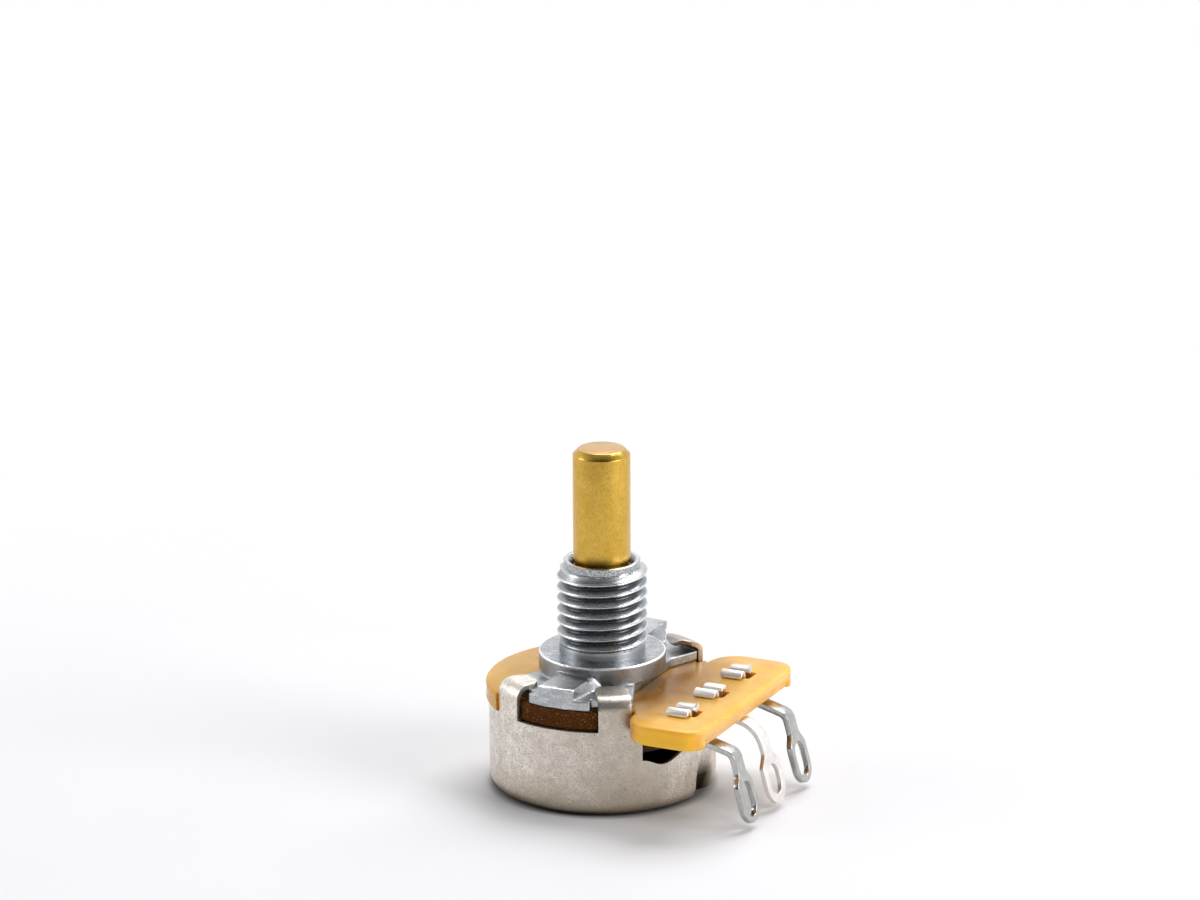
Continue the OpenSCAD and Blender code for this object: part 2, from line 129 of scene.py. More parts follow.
# Barrel
CREST_R = 4.75
ROOT_R = 4.08
NOSE_R = 3.98
NOSE_LEN = 0.75
NOSE_TAPER = 0.03
NOSE_SLOPE = 2.2
FIRST_CREST = 7.65
LEAD_FROM = 80
LEAD_FADE = 0.2
BORE_R = 3.05
MOUTH = 0.5
PITCH = 1.2
THREAD_PHASE = 0.35
THREAD_ROUND = 0.72
RUN_OUT = 0.85
RUN_OUT_LEN = 0.5
COLLAR_R = 4.5
BARREL_FOOT = -0.3
BARREL_ROW = 0.05
BARREL_STEPS = 144

# Board
BOARD_R = 12.2
BOARD_REACH = 16.8
BOARD_HALF = 12.5
BOARD_INNER_X = 7.89
BOARD_CORNER = 2.1
BOARD_FLARE = 3.3
BOARD_HOLE_R = 4.8
HOLE_STEPS = 96
EDGE_LIPS = ((0.26, 0.0), (0.10, 0.06), (0.02, 0.2), (0.0, 0.4), (0.02, 0.68), (0.06, 0.92), (0.06, 1.1),
             (0.03, 1.34), (0.0, 1.58), (0.0, 1.74), (0.05, 1.92), (0.16, 2.04), (0.3, BOARD_TOP - RIM))
NOTCH_GAP = 0.25
NOTCH_R = 11.2
WINDOW_R = 11.45
SLOT_X = 11.2
SLOT_LEN = 3.0
SLOT_CORNER = 0.25
SLOT_EDGE = 0.08
TORN_HALF = 10.4
TORN_BACK = 0.45
TORN_NEAR = 0.6
TORN_HEIGHT = 1.3
TORN_UNEVEN = 0.5
TORN_GRAIN = 1.7

# Terminals
PITCH_Y = 6.7
TERM_T = 0.4
OUTER_T = 0.62
CENTRE_T = 0.52
LUG_EDGE = 0.07
OUTER_FOOT = (8.3, RIM - 0.1)
CENTRE_FOOT = (6.2, RIM)
COLLECTOR_R = 6.5
COLLECTOR_INNER_R = 4.9
COLLECTOR_TURN = 354
COLLECTOR_EDGE = 0.05
STRAP_W = 1.8
STRAP_SLOPE = 15
STRAP_LEN = 3.2
STRAP_BEND = 1.5
LUG_LEAN = 16
LUG_BEND = 1.4
CENTRE_BEND = 3.6
CENTRE_KNEE = 1.4
TIP_Z = CAN_BOTTOM + 0.55
EYE_W = 3.5
CENTRE_EYE_W = 4.1
EYE_LEN = 5.2
EYE_RING = 0.65
CENTRE_EYE_RING = 0.9
EYE_GAP = 0.15
FLARE_BACK = 0.385
FLARE_LEN = 1.6
FLARE_STEPS = 8
PRONG_ROOT = RIM - 0.25
PRONG_STAND = RIM + 1.0
PRONG_LEN = 2.4
FAR_PRONG_LEN = 2.2
OUTER_FAR_PRONG_LEN = 2.45
PRONG_CORNER = 0.22
PRONG_EDGE = 0.08
PRONG_CUTS = 8
PRONG_CURL = 0.45
PRONG_RISE = 0.15
PRONG_TAIL = 0.12
FAR_BEND = 0.28
FAR_TURN = 96
FAR_LEVEL = BOARD_TOP - 0.02
FAR_TAIL = 0.75
FAR_WRING = 60
WRING_FROM = 0.1
WRING_BACK = 0.25
SLOT_SPREAD = 0.25

# Camera, as the photo was taken: distance, direction, roll and the point that it looks at
CAMERA_DISTANCE = 628.2
CAMERA_ELEVATION = 18.728
CAMERA_AZIMUTH = 25.716
CAMERA_ROLL = -0.243
CAMERA_LENS = 180
AIM = (-0.24, 20.77)

# Light
WORLD_LIGHT = 0.08
BACK_LIGHT = 0.38
SIDE_LIGHT = 0.50
LIT_SIDE = (0.94, -0.34, 0)
LAMPS = (
    ("back", (0.00, 0.36, 0.62), (0.6, 0.45), 4.9),
    ("left", (-0.60, -0.25, 0.30), (0.35, 0.35), 1.2),
    ("right", (0.65, 0.00, 0.30), (0.35, 0.35), 3.1),
)


# Materials

def set_inputs(node, values):
    for name, value in values.items():
        node.inputs[name].default_value = value


def combined(tree, kind, a, b):
    """A math node's result from two numbers or sockets."""
    node = tree.nodes.new("ShaderNodeMath")
    node.operation = kind
    for socket, value in zip(node.inputs, (a, b)):
        if isinstance(value, (int, float)):
            socket.default_value = value
        else:
            tree.links.new(value, socket)
    return node.outputs["Value"]


def map_range(tree, value, low, high, out_low, out_high, kind="LINEAR"):
    """A value that follows another one between two limits."""
    node = tree.nodes.new("ShaderNodeMapRange")
    node.interpolation_type = kind
    set_inputs(node, {"From Min": low, "From Max": high, "To Min": out_low, "To Max": out_high})
    tree.links.new(value, node.inputs["Value"])
    return node.outputs["Result"]


class Look:
    """A Principled material that is built up from named procedural textures."""

    def __init__(self, name, metallic=0.0, roughness=0.5):
        self.material = bpy.data.materials.new(name)
        self.material.use_nodes = True
        self.tree = self.material.node_tree
        self.nodes, self.links = self.tree.nodes, self.tree.links
        self.shader = self.nodes["Principled BSDF"]
        set_inputs(self.shader, {"Metallic": metallic, "Roughness": roughness})
        self.place = self.nodes.new("ShaderNodeTexCoord").outputs["Object"]

    def noise(self, size_mm, detail=3.0, rough=0.55, stretch=(1, 1, 1), offset=(0, 0, 0)):
        """Noise whose blotches are about this size."""
        place = self.nodes.new("ShaderNodeMapping")
        set_inputs(place, {"Scale": stretch, "Location": offset})
        self.links.new(self.place, place.inputs["Vector"])
        node = self.nodes.new("ShaderNodeTexNoise")
        set_inputs(node, {"Scale": 1 / (size_mm * MM), "Detail": detail, "Roughness": rough})
        self.links.new(place.outputs["Vector"], node.inputs["Vector"])
        return node.outputs["Fac"]

    def ramp(self, value, low, high, out_low=0.0, out_high=1.0):
        return map_range(self.tree, value, low, high, out_low, out_high)

    def rise(self, value, low, high, out_low=0.0, out_high=1.0):
        """A ramp between two places in millimetres."""
        return self.ramp(value, low * MM, high * MM, out_low, out_high)

    def axis(self, index):
        node = self.nodes.new("ShaderNodeSeparateXYZ")
        self.links.new(self.place, node.inputs["Vector"])
        return node.outputs[index]

    def math(self, kind, a, b):
        return combined(self.tree, kind, a, b)

    def where(self, *masks):
        """One where all the masks are one: their product."""
        product = masks[0]
        for mask in masks[1:]:
            product = self.math("MULTIPLY", product, mask)
        return product

    def aside(self):
        """Distance from the plane through the shaft and the middle terminal."""
        return self.math("ABSOLUTE", self.axis(1), 0)

    def band(self, value, centre, half):
        """One around the centre, falling to none at half the band's width away from it."""
        away = self.math("ABSOLUTE", self.math("SUBTRACT", value, centre * MM), 0)
        return self.rise(away, 0.5 * half, half, 1.0, 0.0)

    def radius(self):
        """Distance from the shaft's axis."""
        x = self.math("POWER", self.axis(0), 2)
        y = self.math("POWER", self.axis(1), 2)
        return self.math("POWER", self.math("ADD", x, y), 0.5)

    def mix(self, factor, a, b):
        """Colours or colour sockets a and b, mixed."""
        node = self.nodes.new("ShaderNodeMix")
        node.data_type = "RGBA"
        self.links.new(factor, node.inputs["Factor"])
        for socket, value in ((node.inputs[6], a), (node.inputs[7], b)):
            if isinstance(value, tuple):
                socket.default_value = (*value, 1)
            else:
                self.links.new(value, socket)
        return node.outputs[2]

    def colour(self, socket):
        self.links.new(socket, self.shader.inputs["Base Color"])

    def rough(self, socket):
        self.links.new(socket, self.shader.inputs["Roughness"])

    def bump(self, height, depth_mm, strength):
        node = self.nodes.new("ShaderNodeBump")
        set_inputs(node, {"Strength": strength, "Distance": depth_mm * MM})
        self.links.new(height, node.inputs["Height"])
        self.links.new(node.outputs["Normal"], self.shader.inputs["Normal"])


def nickel_plate():
    look = Look("nickel_plate", metallic=1.0)
    mottle = look.noise(1.1, detail=4, rough=0.6)
    grain = look.noise(0.16, detail=3, rough=0.7)
    cloud = look.noise(5.0, detail=2, stretch=(1, 1, 1.5))
    height = look.axis(2)
    colour = look.mix(look.ramp(mottle, 0.36, 0.66), (0.70, 0.65, 0.58), (0.97, 0.91, 0.83))
    colour = look.mix(look.ramp(grain, 0.38, 0.54), (0.50, 0.45, 0.385), colour)
    pale = look.noise(0.24, detail=1, offset=(0.05, 0.03, 0.01))
    colour = look.mix(look.ramp(pale, 0.64, 0.72), colour, (0.80, 0.75, 0.68))
    specks = look.noise(0.3, detail=1, offset=(0.02, 0.01, 0.05))
    colour = look.mix(look.ramp(specks, 0.68, 0.75), colour, (0.26, 0.22, 0.18))
    # Painted shade on the right side; browner towards the base, with stains
    right = look.where(
        look.rise(look.axis(0), -8, 7, 0.0, 0.62),
        look.rise(look.axis(0), 9.6, 10.6, 1.0, 0.0),
        look.rise(height, PLATE_TOP, PLATE_TOP + 0.3, 1.0, 0.0),
    )
    colour = look.mix(right, colour, (0.43, 0.37, 0.29))
    low = look.rise(height, CAN_BOTTOM + 5.5, CAN_BOTTOM)
    stain = look.where(low, look.ramp(cloud, 0.35, 0.65, 0.2, 0.75))
    colour = look.mix(stain, colour, (0.42, 0.34, 0.23))
    foot = look.rise(height, CAN_BOTTOM + 1.4, CAN_BOTTOM + 0.2, 0.0, 0.65)
    colour = look.mix(foot, colour, (0.22, 0.17, 0.11))
    # Painted contact shadow along the bottom edge
    contact_shadow = look.rise(height, CAN_BOTTOM + 0.6, CAN_BOTTOM + 0.1, 0.0, 0.9)
    colour = look.mix(contact_shadow, colour, (0.05, 0.04, 0.03))
    # Painted shade on the sprung tab's creased top
    sprung = look.where(
        look.rise(look.axis(1), 6.5, 7.2),
        look.rise(height, PLATE_TOP + 0.2, PLATE_TOP + 0.8),
        look.ramp(mottle, 0.35, 0.55, 0.35, 0.9),
    )
    colour = look.mix(sprung, colour, (0.34, 0.31, 0.28))
    # Painted shade inside the can, dark brown
    inside_shade = look.where(
        look.rise(look.radius(), CAN_R - 0.3, CAN_R - 0.42),
        look.rise(height, RIM, RIM - 0.2),
        look.rise(height, CAN_BOTTOM + 0.4, CAN_BOTTOM + 0.6),
        look.rise(look.aside(), DENT_R + 0.5, DENT_R + 0.8),
    )
    colour = look.mix(inside_shade, colour, (0.20, 0.10, 0.04))
    # Painted shade in the stop dent
    dent_shade = look.where(
        look.rise(look.aside(), 1.3, 2.1, 1.0, 0.0),
        look.rise(look.axis(0), 9.0, 9.8),
        look.rise(height, -11.0, -12.6),
    )
    colour = look.mix(dent_shade, colour, (0.045, 0.035, 0.025))
    look.colour(colour)
    look.rough(look.ramp(mottle, 0.3, 0.7, 0.44, 0.34))
    look.bump(look.math("ADD", mottle, look.math("MULTIPLY", grain, 0.6)), 0.02, 0.6)
    return look.material


def zinc_casting():
    """The die casting. Its barrel is smoother, with painted shade at the thread's root and a painted
    highlight along the crest.
    """
    look = Look("zinc_casting", metallic=1.0)
    height, radius = look.axis(2), look.radius()
    patch = look.noise(1.6, detail=4, rough=0.6)
    grain = look.noise(0.14, detail=2)
    streak = look.noise(0.5, detail=3, stretch=(0.35, 1, 2))
    colour = look.mix(look.ramp(patch, 0.35, 0.68), (0.42, 0.435, 0.45), (0.78, 0.785, 0.79))
    colour = look.mix(look.ramp(streak, 0.3, 0.62), (0.35, 0.37, 0.395), colour)
    colour = look.mix(look.ramp(grain, 0.34, 0.62), (0.36, 0.375, 0.39), colour)
    # Painted highlights along the boss's rim and the rib's front edge
    rim_highlight = look.where(look.band(radius, BOSS_R - 0.05, 0.13), look.band(height, -0.05, 0.13))
    front = look.where(look.band(radius, PLATE_R - 0.1, 0.3), look.band(height, RIB_TOP - 0.05, 0.16))
    colour = look.mix(look.math("MAXIMUM", rim_highlight, front), colour, (0.95, 0.95, 0.95))
    # Painted shade on the boss's side, and its top is turned
    side = look.where(
        look.band(radius, BOSS_R, 0.2),
        look.rise(height, -0.12, -0.3),
        look.rise(height, PLATE_TOP, PLATE_TOP + 0.2),
        0.7,
    )
    colour = look.mix(side, colour, (0.20, 0.20, 0.20))
    turned_top = look.where(look.rise(height, -0.06, -0.01), look.rise(radius, BOSS_R - 0.1, BOSS_R - 0.3))
    # The thread: painted shade at its root and in the bore, its metal and collar painted darker as painted
    # shade, and a painted highlight along the crest
    flank = look.rise(radius, ROOT_R + 0.02, ROOT_R + 0.34)
    crest = look.rise(radius, CREST_R - 0.16, CREST_R - 0.05)
    above, below = look.rise(height, 8.6, 8.9), look.rise(height, RUN_OUT, RUN_OUT - 0.2)
    open_metal = look.math("MAXIMUM", above, below)
    in_bore = look.rise(radius, BORE_R + 0.1, BORE_R + 0.35)
    metal = look.mix(look.ramp(patch, 0.3, 0.7), (0.25, 0.265, 0.28), (0.40, 0.415, 0.43))
    thread = look.mix(flank, (0.08, 0.085, 0.09), metal)
    thread = look.mix(crest, thread, (0.80, 0.81, 0.82))
    cast = look.mix(look.ramp(grain, 0.42, 0.58), (0.24, 0.245, 0.25), (0.56, 0.57, 0.58))
    lead = look.mix(look.rise(radius, NOSE_R + 0.05, NOSE_R + 0.15), cast, (0.60, 0.61, 0.62))
    lead = look.mix(look.rise(height, BARREL_TOP - 0.05, BARREL_TOP), lead, (0.66, 0.67, 0.68))
    thread = look.mix(open_metal, thread, lead)
    thread = look.mix(in_bore, (0.08, 0.08, 0.08), thread)
    collar = look.rise(height, RUN_OUT, RUN_OUT - 0.3)
    thread = look.mix(collar, thread, (0.33, 0.345, 0.36))
    barrel = look.rise(height, 0.0, 0.1)
    look.colour(look.mix(barrel, colour, thread))
    smoother = look.where(look.math("MAXIMUM", barrel, turned_top), 0.09)
    smoother = look.math("SUBTRACT", smoother, look.where(collar, barrel, 0.2))
    look.rough(look.math("SUBTRACT", look.ramp(patch, 0.35, 0.7, 0.27, 0.42), smoother))
    look.bump(look.math("ADD", look.math("MULTIPLY", patch, 1.5), grain), 0.016, 0.7)
    return look.material


def board_laminate():
    look = Look("board_laminate", roughness=0.24)
    set_inputs(look.shader, {
        "Subsurface Weight": 0.6, "Subsurface Radius": (1.0, 0.45, 0.10), "Subsurface Scale": 2.2 * MM,
    })
    cloud = look.noise(3.0, detail=3)
    fibre = look.noise(0.2, detail=2, stretch=(1, 1, 2))
    colour = look.mix(look.ramp(cloud, 0.3, 0.7), (0.54, 0.275, 0.022), (0.62, 0.345, 0.045))
    # Painted light: brighter away from the boss, and a painted shadow of the boss beside it
    outer = look.mix(look.ramp(cloud, 0.3, 0.7), (0.74, 0.385, 0.045), (0.83, 0.465, 0.085))
    colour = look.mix(look.rise(look.radius(), 9.5, 15.5), colour, outer)
    boss_shadow = look.where(look.rise(look.axis(0), 2.5, 6.5), look.rise(look.radius(), 15.5, 8.5))
    colour = look.mix(boss_shadow, colour, (0.23, 0.095, 0.006))
    # The sides are painted brighter, as painted glow of light through them, and the end is torn into pale
    # fibres
    under_top = look.rise(look.axis(2), BOARD_TOP - 0.1, BOARD_TOP - 0.5)
    side = look.where(look.rise(look.aside(), 11.6, 12.4), under_top)
    colour = look.mix(side, colour, (0.98, 0.57, 0.035))
    torn = look.where(look.rise(look.axis(0), 16.45, 16.65), look.ramp(fibre, 0.55, 0.68))
    colour = look.mix(torn, colour, (0.84, 0.64, 0.34))
    # The punched edge carries painted shade where the plate clamps it, with pale specks
    clamped_shade = look.where(
        look.rise(look.axis(0), 5.0, 6.0, 1.0, 0.0),
        look.rise(look.axis(1), -9.2, -10.2),
        look.rise(look.axis(0), -6.6, -6.0),
    )
    shade_and_specks = look.mix(look.ramp(fibre, 0.60, 0.74), (0.085, 0.026, 0.003), (0.42, 0.25, 0.09))
    look.colour(look.mix(clamped_shade, colour, shade_and_specks))
    look.rough(look.ramp(clamped_shade, 0, 1, 0.26, 0.7))
    look.links.new(look.ramp(clamped_shade, 0, 1, 0.34, 0.08), look.shader.inputs["Specular IOR Level"])
    look.bump(look.math("ADD", cloud, look.math("MULTIPLY", fibre, 0.4)), 0.02, 0.4)
    return look.material


def with_prongs(look, colour):
    """The colour, nearly white above the board, where the prongs were folded, and a painted amber
    reflection of the board between the slot's walls. Both are less metallic."""
    in_slot = look.rise(look.axis(2), RIM + 0.1, RIM + 0.3)
    above = look.rise(look.axis(2), BOARD_TOP, BOARD_TOP + 0.1)
    look.links.new(look.ramp(in_slot, 0, 1, 1.0, 0.5), look.shader.inputs["Metallic"])
    colour = look.mix(in_slot, colour, (0.50, 0.25, 0.05))
    return look.mix(above, colour, (0.92, 0.90, 0.88))


def tinned_sheet():
    look = Look("tinned_sheet", metallic=1.0)
    patch = look.noise(1.3, detail=3)
    streak = look.noise(0.3, detail=3, stretch=(1, 1, 0.3))
    colour = look.mix(look.ramp(patch, 0.35, 0.7), (0.45, 0.445, 0.43), (0.61, 0.605, 0.585))
    colour = look.mix(look.ramp(streak, 0.3, 0.6), (0.42, 0.42, 0.41), colour)
    # Painted shade, dark brown, on the foot inside the can
    colour = look.mix(look.rise(look.axis(0), 11.4, 10.6), colour, (0.05, 0.028, 0.012))
    look.colour(with_prongs(look, colour))
    look.rough(look.ramp(patch, 0.3, 0.7, 0.18, 0.28))
    look.bump(streak, 0.006, 0.4)
    return look.material


def silver_plate():
    look = Look("silver_plate", metallic=1.0)
    patch = look.noise(0.9, detail=3)
    colour = look.mix(look.ramp(patch, 0.3, 0.7), (0.78, 0.74, 0.70), (0.92, 0.88, 0.85))
    look.colour(with_prongs(look, colour))
    look.rough(look.ramp(patch, 0.3, 0.7, 0.34, 0.46))
    look.bump(patch, 0.008, 0.4)
    return look.material


def turned_brass():
    look = Look("turned_brass", metallic=1.0)
    drawn = look.noise(0.15, detail=3, stretch=(1, 1, 0.55))
    blotch = look.noise(1.2, detail=4)
    colour = look.mix(look.ramp(blotch, 0.3, 0.7), (0.61, 0.375, 0.058), (0.74, 0.475, 0.10))
    colour = look.mix(look.ramp(drawn, 0.3, 0.58), (0.53, 0.32, 0.05), colour)
    # The faced end is pinker
    end = look.rise(look.axis(2), SHAFT_TOP - 0.04, SHAFT_TOP - 0.01)
    look.colour(look.mix(end, colour, (0.74, 0.43, 0.16)))
    rings = look.nodes.new("ShaderNodeTexWave")
    rings.wave_type = "RINGS"
    rings.rings_direction = "Z"
    set_inputs(rings, {"Scale": 1 / (0.6 * MM), "Distortion": 0.6})
    look.links.new(look.place, rings.inputs["Vector"])
    turned = look.where(rings.outputs["Fac"], end)
    chamfer = look.rise(look.axis(2), SHAFT_TOP - 0.65, SHAFT_TOP - 0.58, 1.0, 0.6)
    look.rough(look.where(chamfer, look.ramp(blotch, 0.3, 0.7, 0.28, 0.38)))
    look.bump(look.math("ADD", turned, look.math("ADD", drawn, blotch)), 0.007, 0.6)
    return look.material


def plain(name, dark, light, roughness, metallic=1.0):
    """A nearly even look, of bare metal or else matt."""
    look = Look(name, metallic=metallic)
    patch = look.noise(0.7, detail=3) if metallic else look.noise(0.4, detail=4)
    look.colour(look.mix(look.ramp(patch, 0.3, 0.7), dark, light))
    look.rough(look.ramp(patch, 0.3, 0.7, roughness, roughness + (0.12 if metallic else 0.1)))
    look.bump(patch, 0.01, 0.4)
    return look.material


PLAIN_LOOKS = (
    ("carbon_print", (0.008, 0.008, 0.008), (0.02, 0.02, 0.02), 0.6, 0.0),
    ("silver_print", (0.45, 0.45, 0.44), (0.6, 0.6, 0.59), 0.5),
    ("spring_steel", (0.10, 0.10, 0.11), (0.18, 0.18, 0.18), 0.3),
    ("moulded_carrier", (0.05, 0.022, 0.008), (0.075, 0.036, 0.012), 0.8, 0.0),
    ("zinc_plated_sheet", (0.32, 0.33, 0.34), (0.45, 0.46, 0.47), 0.35),
    ("contact_bronze", (0.5, 0.28, 0.13), (0.62, 0.38, 0.2), 0.25),
)

LOOKS = {make.__name__: make() for make in (
    nickel_plate, zinc_casting, board_laminate, tinned_sheet, silver_plate, turned_brass,
)}
LOOKS.update((row[0], plain(*row)) for row in PLAIN_LOOKS)

NODE_LOOKS = {
    "can": "nickel_plate", "bushing": "zinc_casting", "wafer": "board_laminate",
    "terminal_left": "tinned_sheet", "terminal_right": "tinned_sheet",
    "terminal_centre": "silver_plate", "resistive_track": "carbon_print",
    "end_pad_left": "silver_print", "end_pad_right": "silver_print", "shaft": "turned_brass",
    "retaining_ring": "spring_steel", "rotor": "moulded_carrier",
    "stop_plate": "zinc_plated_sheet", "wiper": "contact_bronze",
}


def dress_nodes():
    for name, look in NODE_LOOKS.items():
        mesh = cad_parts[name].data
        mesh.materials.clear()
        mesh.materials.append(LOOKS[look])


# Mesh builders

def add_object(name, data):
    obj = bpy.data.objects.new(name, data)
    bpy.context.scene.collection.objects.link(obj)
    return obj


def piece(name, bm, look, node, body="stator"):
    """Turns a mesh in millimetres into the piece that stands for a CAD node."""
    bmesh.ops.remove_doubles(bm, verts=bm.verts[:], dist=WELD)
    bmesh.ops.recalc_face_normals(bm, faces=bm.faces[:])
    bmesh.ops.scale(bm, vec=(MM, MM, MM), verts=bm.verts[:])
    mesh = bpy.data.meshes.new(name)
    bm.to_mesh(mesh)
    bm.free()
    mesh.materials.append(LOOKS[look])
    obj = add_object(name, mesh)
    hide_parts(node)
    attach(obj, body)
    return obj


def apply_modifiers(obj):
    depsgraph = bpy.context.evaluated_depsgraph_get()
    mesh = bpy.data.meshes.new_from_object(obj.evaluated_get(depsgraph))
    obj.modifiers.clear()
    obj.data = mesh


def shade(obj, angle):
    """Smooth shading with the edges sharper than the angle kept crisp."""
    mesh = obj.data
    mesh.shade_smooth()
    mesh.set_sharp_from_angle(angle=radians(angle))


def bevelled(obj, width, segments, angle):
    """Rounds the edges that are sharper than the angle."""
    modifier = obj.modifiers.new("edges", "BEVEL")
    modifier.width = width * MM
    modifier.segments = segments
    modifier.limit_method = "ANGLE"
    modifier.angle_limit = radians(angle)
    apply_modifiers(obj)


def node_mesh(name):
    """A CAD node's mesh in millimetres."""
    bm = bmesh.new()
    bm.from_mesh(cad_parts[name].data)
    bmesh.ops.scale(bm, vec=(1 / MM, 1 / MM, 1 / MM), verts=bm.verts[:])
    bmesh.ops.remove_doubles(bm, verts=bm.verts[:], dist=WELD)
    return bm


def cut_mesh(bm, place, normal, clear_outer=False):
    """Cuts a mesh along a plane, and can drop what is beyond it."""
    geometry = bm.verts[:] + bm.edges[:] + bm.faces[:]
    return bmesh.ops.bisect_plane(bm, geom=geometry, plane_co=place, plane_no=normal, clear_outer=clear_outer)


def clamp(value):
    """The value, kept from 0 to 1."""
    return min(1.0, max(0.0, value))


def soft_step(share):
    """A share from 0 to 1 that leaves both ends gently."""
    return share * share * (3 - 2 * share)


def steps_between(low, high, count):
    """Even steps above the low value, up to the high one."""
    return [low + (high - low) * i / count for i in range(1, count + 1)]


def arc(x, y, r, start, end, steps):
    """Points on an arc, from one angle in degrees to another."""
    points = []
    for i in range(steps + 1):
        a = radians(start + (end - start) * i / steps)
        points.append((x + r * cos(a), y + r * sin(a)))
    return points


def disc_arc(r, start, end):
    """Points on an arc around the shaft's axis, in steps of a few degrees."""
    return arc(0, 0, r, start, end, max(4, round((end - start) / ARC_STEP)))


def join_rings(bm, rings):
    """Joins closed rings of vertices, each to the next, with quads."""
    for low, high in zip(rings, rings[1:]):
        for i in range(len(low)):
            j = (i + 1) % len(low)
            bm.faces.new((low[i], low[j], high[j], high[i]))


def join_columns(bm, here, after):
    """Joins two columns of vertices with quads, up to the shorter one's end."""
    for i in range(min(len(here), len(after)) - 1):
        bm.faces.new((here[i], after[i], after[i + 1], here[i + 1]))


def inset_loop(points, inset):
    """The loop moved into the material on its left by the inset."""
    moved = []
    count = len(points)
    for i, (x, y) in enumerate(points):
        before, after = points[i - 1], points[(i + 1) % count]
        a = Vector((x - before[0], y - before[1])).normalized()
        b = Vector((after[0] - x, after[1] - y)).normalized()
        n = Vector((-a.y - b.y, a.x + b.x))
        n *= inset / max(0.3, 1 + a.dot(b))
        moved.append((x + n.x, y + n.y))
    return moved


def plate(bm, loops, profile, hole_profile=None):
    """A plate from its loops: the outline turns left and the holes turn right, so that the material
    is on each loop's left. The profile gives the edge's inset and height from bottom to top."""
    ends = ([], [])
    for number, loop in enumerate(loops):
        rings = []
        for inset, z in (hole_profile if number and hole_profile else profile):
            rings.append([bm.verts.new((x, y, z)) for x, y in inset_loop(loop, inset)])
        join_rings(bm, rings)
        for place, ring in zip(ends, (rings[0], rings[-1])):
            place.extend(bm.edges.get((v, after)) for v, after in zip(ring, ring[1:] + ring[:1]))
    for edges in ends:
        bmesh.ops.triangle_fill(bm, edges=edges, use_beauty=True)


def round_profile(low, high, r, steps=3):
    """Edge profile of a plate with rounded edges."""
    turn = [radians(90 * i / steps) for i in range(steps + 1)]
    return ([(r - r * sin(a), low + r - r * cos(a)) for a in turn]
            + [(r - r * cos(a), high - r + r * sin(a)) for a in turn])


# Can

def tab_path(angle):
    """Middle line of a tab above the rim, as radius and height. The last points are the fold."""
    sprung = angle == SPRUNG_TAB
    bend = SPRUNG_BEND if sprung else TAB_BEND
    rise = SPRUNG_RISE if sprung else 0
    level = SPRUNG_LEVEL if sprung else PLATE_TOP + SHEET - TAB_BEND
    tip = SPRUNG_TIP if sprung else CAN_R - (LEFT_TAB_FOLD if angle == FLAT_TABS[0] else TAB_FOLD)
    path = [(MID_R, z) for z in steps_between(RIM, level, STAND_STEPS)]
    path += arc(CAN_R - bend, level, bend - SHEET / 2, 0, 90 - rise, BEND_STEPS)[1:]
    r, z = path[-1]
    climb = math.tan(radians(rise))
    for share in steps_between(0, 1, FOLD_STEPS):
        droop = SPRUNG_CURL * max(0.0, share - CURL_FROM) ** 2 if sprung else 0.0
        path.append((r - (r - tip) * share, z + (r - tip) * share * climb - droop))
    return path


def height_at(path, r):
    """Height of a path that leads inwards, where it passes a radius."""
    for (r0, z0), (r1, z1) in zip(path, path[1:]):
        if r >= r1:
            return z0 + (z1 - z0) * (r0 - r) / (r0 - r1)
    return path[-1][1]


def column_angle(y):
    """Angle of the can's column at a sideways place."""
    return degrees(asin(y / MID_R))


def can_columns():
    """Angles of the can's columns, with the tab that each belongs to, and the sideways places."""
    wanted = {}
    for tab in TABS:
        for i in range(TAB_COLUMNS + 1):
            y = -TAB_W / 2 + TAB_W * i / TAB_COLUMNS
            wanted[round(tab + column_angle(y), 5)] = (tab, y)
    for y in DENT_COLUMNS + [corner[0] for corner in CUTOUT]:
        wanted[round(column_angle(y), 5)] = None
    angles = sorted(wanted)
    columns = []
    for here, after in zip(angles, angles[1:] + [angles[0] + 360]):
        columns.append((here, wanted[here]))
        gaps = max(1, round((after - here) / ARC_STEP))
        columns.extend((here + (after - here) * k / gaps, None) for k in range(1, gaps))
    return columns


def cutout_level(y):
    """Height of the cut-out's edge at a sideways place."""
    for (y0, d0), (y1, d1) in zip(CUTOUT, CUTOUT[1:]):
        if y0 - 1e-6 <= y <= y1 + 1e-6:
            return RIM + d0 + (d1 - d0) * soft_step((y - y0) / (y1 - y0))
    return None


def dented(x, y, z):
    """Pushes a point of the can in where the stop dent is pressed, with soft lips."""
    r = DENT_R + SHEET / 2
    if x < 0 or abs(y) >= r:
        return x
    axis = CAN_R + DENT_R - DENT_DEPTH + max(0.0, z - CAN_BOTTOM) * DENT_DEPTH / DENT_H
    depth = x - axis + sqrt(r * r - y * y)
    if depth <= -DENT_REACH:
        return x
    return x - DENT_SOFT * (math.log1p(math.exp(depth / DENT_SOFT)) - math.log1p(math.exp(-6)))


def can_point(radius, angle, z):
    """A point of the can's sheet, which is slightly uneven."""
    a = radians(angle)
    x, y = radius * cos(a), radius * sin(a)
    x = dented(x, y, z)
    if radius > WOBBLE_FROM:
        grow = 1 + WOBBLE * noise.noise(Vector((x, y, z)) * WOBBLE_GRAIN) / radius
        x, y = x * grow, y * grow
    return (x, y, z)


